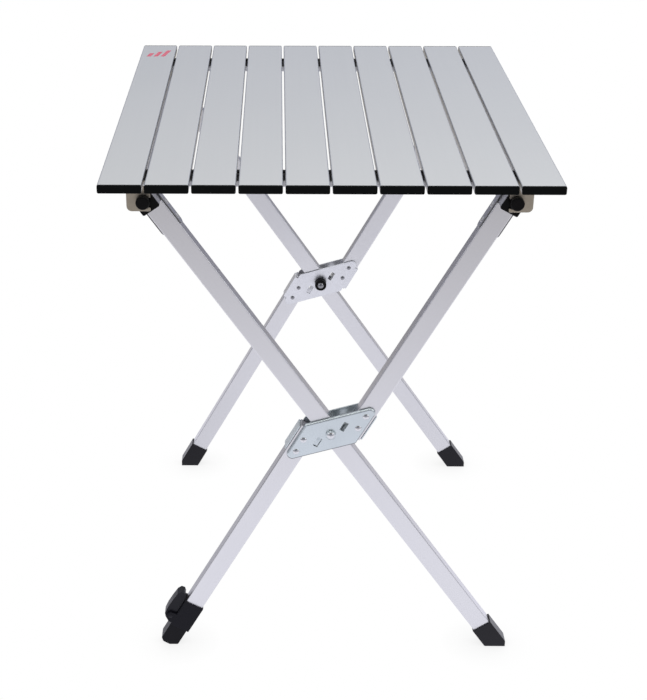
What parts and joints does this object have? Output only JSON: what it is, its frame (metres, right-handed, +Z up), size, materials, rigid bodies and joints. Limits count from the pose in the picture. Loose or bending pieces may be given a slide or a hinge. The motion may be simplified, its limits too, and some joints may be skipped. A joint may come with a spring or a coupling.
{
  "type": "folding side table",
  "caption": "Folding camp side table: slatted roll-up metal top hooked over a crossed-leg frame of rectangular tube, with one levelling foot.",
  "frame": {"origin": "centre of the table's footprint on the floor", "axes": "+Z up, normal to the tabletop; X across the table, the way its slats are stacked; +Y away from the front, along the slats"},
  "size_m": [0.53, 0.62, 0.7],
  "materials": {
    "satin_aluminium": "satin anodised, drawn lines along the length",
    "leg_aluminium": "satin anodised tube",
    "rail_aluminium": "satin anodised tube",
    "zinc_steel": "bright zinc plate",
    "grey_steel": "dull warm grey plate",
    "rivet_steel": "bright rivets",
    "black_plastic": "moulded, slight sheen",
    "grey_plastic": "moulded, slight sheen",
    "pale_plastic": "moulded, slight sheen"
  },
  "bodies": {
    "top": {"slat_01": "satin_aluminium", "slat_caps_01": "black_plastic", "rail_front": "rail_aluminium", "rail_back": "rail_aluminium", "hook_plate_front_left": "grey_steel", "hook_plate_front_right": "grey_steel", "hook_plate_back_left": "grey_steel", "hook_plate_back_right": "grey_steel", "hook_plate_rivets": "rivet_steel"},
    "slat_body_02": {"slat_02": "satin_aluminium", "slat_caps_02": "black_plastic"},
    "slat_body_03": {"slat_03": "satin_aluminium", "slat_caps_03": "black_plastic"},
    "slat_body_04": {"slat_04": "satin_aluminium", "slat_caps_04": "black_plastic"},
    "slat_body_05": {"slat_05": "satin_aluminium", "slat_caps_05": "black_plastic"},
    "slat_body_06": {"slat_06": "satin_aluminium", "slat_caps_06": "black_plastic"},
    "slat_body_07": {"slat_07": "satin_aluminium", "slat_caps_07": "black_plastic"},
    "slat_body_08": {"slat_08": "satin_aluminium", "slat_caps_08": "black_plastic"},
    "slat_body_09": {"slat_09": "satin_aluminium", "slat_caps_09": "black_plastic"},
    "slat_body_10": {"slat_10": "satin_aluminium", "slat_caps_10": "black_plastic"},
    "pivot_core": {"pivot_pins": "rivet_steel", "pivot_bumpers": "black_plastic"},
    "frame_a": {"crossbar_left": "leg_aluminium", "crossbar_plugs_left": "black_plastic", "hook_pins_left": "black_plastic", "leg_a_front": "leg_aluminium", "leg_a_back": "leg_aluminium", "side_stud_a": "rivet_steel", "saddles_left": "zinc_steel", "saddle_rivets_left": "rivet_steel", "foot_cap_front_right": "black_plastic", "foot_cap_back_right": "black_plastic"},
    "frame_b": {"crossbar_right": "leg_aluminium", "crossbar_plugs_right": "black_plastic", "hook_pins_right": "black_plastic", "leg_b_front_upper": "leg_aluminium", "leg_b_back_upper": "leg_aluminium", "leg_b_front_lower": "leg_aluminium", "leg_b_back_lower": "leg_aluminium", "side_stud_b": "rivet_steel", "saddles_right": "zinc_steel", "saddle_rivets_right": "rivet_steel", "foot_cap_back_left": "black_plastic", "bracket_front_outer": "zinc_steel", "bracket_back_outer": "zinc_steel", "bracket_front_inner": "zinc_steel", "bracket_back_inner": "zinc_steel", "bracket_rivets": "rivet_steel", "levelling_socket": "grey_plastic", "lever_pin": "rivet_steel", "tube_plugs_b": "pale_plastic"},
    "foot_slide_body": {"levelling_foot": "grey_plastic"},
    "lever_body": {"lock_lever": "grey_plastic"}
  },
  "joints": [
    {"name": "roll_02", "type": "hinge", "parent": "top", "child": "slat_body_02", "pos_m": [-0.21316, 0, 0.7], "axis": [0, -1, 0], "range_deg": [0, 36]},
    {"name": "roll_03", "type": "hinge", "parent": "slat_body_02", "child": "slat_body_03", "pos_m": [-0.15987, 0, 0.7], "axis": [0, -1, 0], "range_deg": [0, 36]},
    {"name": "roll_04", "type": "hinge", "parent": "slat_body_03", "child": "slat_body_04", "pos_m": [-0.10658, 0, 0.7], "axis": [0, -1, 0], "range_deg": [0, 36]},
    {"name": "roll_05", "type": "hinge", "parent": "slat_body_04", "child": "slat_body_05", "pos_m": [-0.05329, 0, 0.7], "axis": [0, -1, 0], "range_deg": [0, 36]},
    {"name": "roll_06", "type": "hinge", "parent": "slat_body_05", "child": "slat_body_06", "pos_m": [0, 0, 0.7], "axis": [0, -1, 0], "range_deg": [0, 36]},
    {"name": "roll_07", "type": "hinge", "parent": "slat_body_06", "child": "slat_body_07", "pos_m": [0.05329, 0, 0.7], "axis": [0, -1, 0], "range_deg": [0, 36]},
    {"name": "roll_08", "type": "hinge", "parent": "slat_body_07", "child": "slat_body_08", "pos_m": [0.10658, 0, 0.7], "axis": [0, -1, 0], "range_deg": [0, 36]},
    {"name": "roll_09", "type": "hinge", "parent": "slat_body_08", "child": "slat_body_09", "pos_m": [0.15987, 0, 0.7], "axis": [0, -1, 0], "range_deg": [0, 36]},
    {"name": "roll_10", "type": "hinge", "parent": "slat_body_09", "child": "slat_body_10", "pos_m": [0.21316, 0, 0.7], "axis": [0, -1, 0], "range_deg": [0, 36]},
    {"name": "frame_drop", "type": "slide", "parent": "top", "child": "pivot_core", "axis": [0, 0, -1], "range_m": [0, 0.10628]},
    {"name": "fold_a", "type": "hinge", "parent": "pivot_core", "child": "frame_a", "pos_m": [0.0087, 0, 0.341], "axis": [0, 1, 0], "range_deg": [0, 28]},
    {"name": "fold_b", "type": "hinge", "parent": "pivot_core", "child": "frame_b", "pos_m": [0.0087, 0, 0.341], "axis": [0, -1, 0], "range_deg": [0, 28]},
    {"name": "foot_adjust", "type": "slide", "parent": "frame_b", "child": "foot_slide_body", "axis": [-0.4833, 0, -0.8754], "range_m": [0, 0.015]},
    {"name": "lever_release", "type": "hinge", "parent": "frame_b", "child": "lever_body", "pos_m": [-0.20595, -0.23675, 0.04945], "axis": [0, -1, 0], "range_deg": [0, 70]}
  ],
  "couplings": [
    {"joint": "roll_03", "follows": "roll_02", "ratio": 1},
    {"joint": "roll_04", "follows": "roll_02", "ratio": 1},
    {"joint": "roll_05", "follows": "roll_02", "ratio": 1},
    {"joint": "roll_06", "follows": "roll_02", "ratio": 1},
    {"joint": "roll_07", "follows": "roll_02", "ratio": 1},
    {"joint": "roll_08", "follows": "roll_02", "ratio": 1},
    {"joint": "roll_09", "follows": "roll_02", "ratio": 1},
    {"joint": "roll_10", "follows": "roll_02", "ratio": 1},
    {"joint": "fold_a", "follows": "frame_drop", "rad_per_m": 4.5977},
    {"joint": "fold_b", "follows": "frame_drop", "rad_per_m": 4.5977}
  ]
}
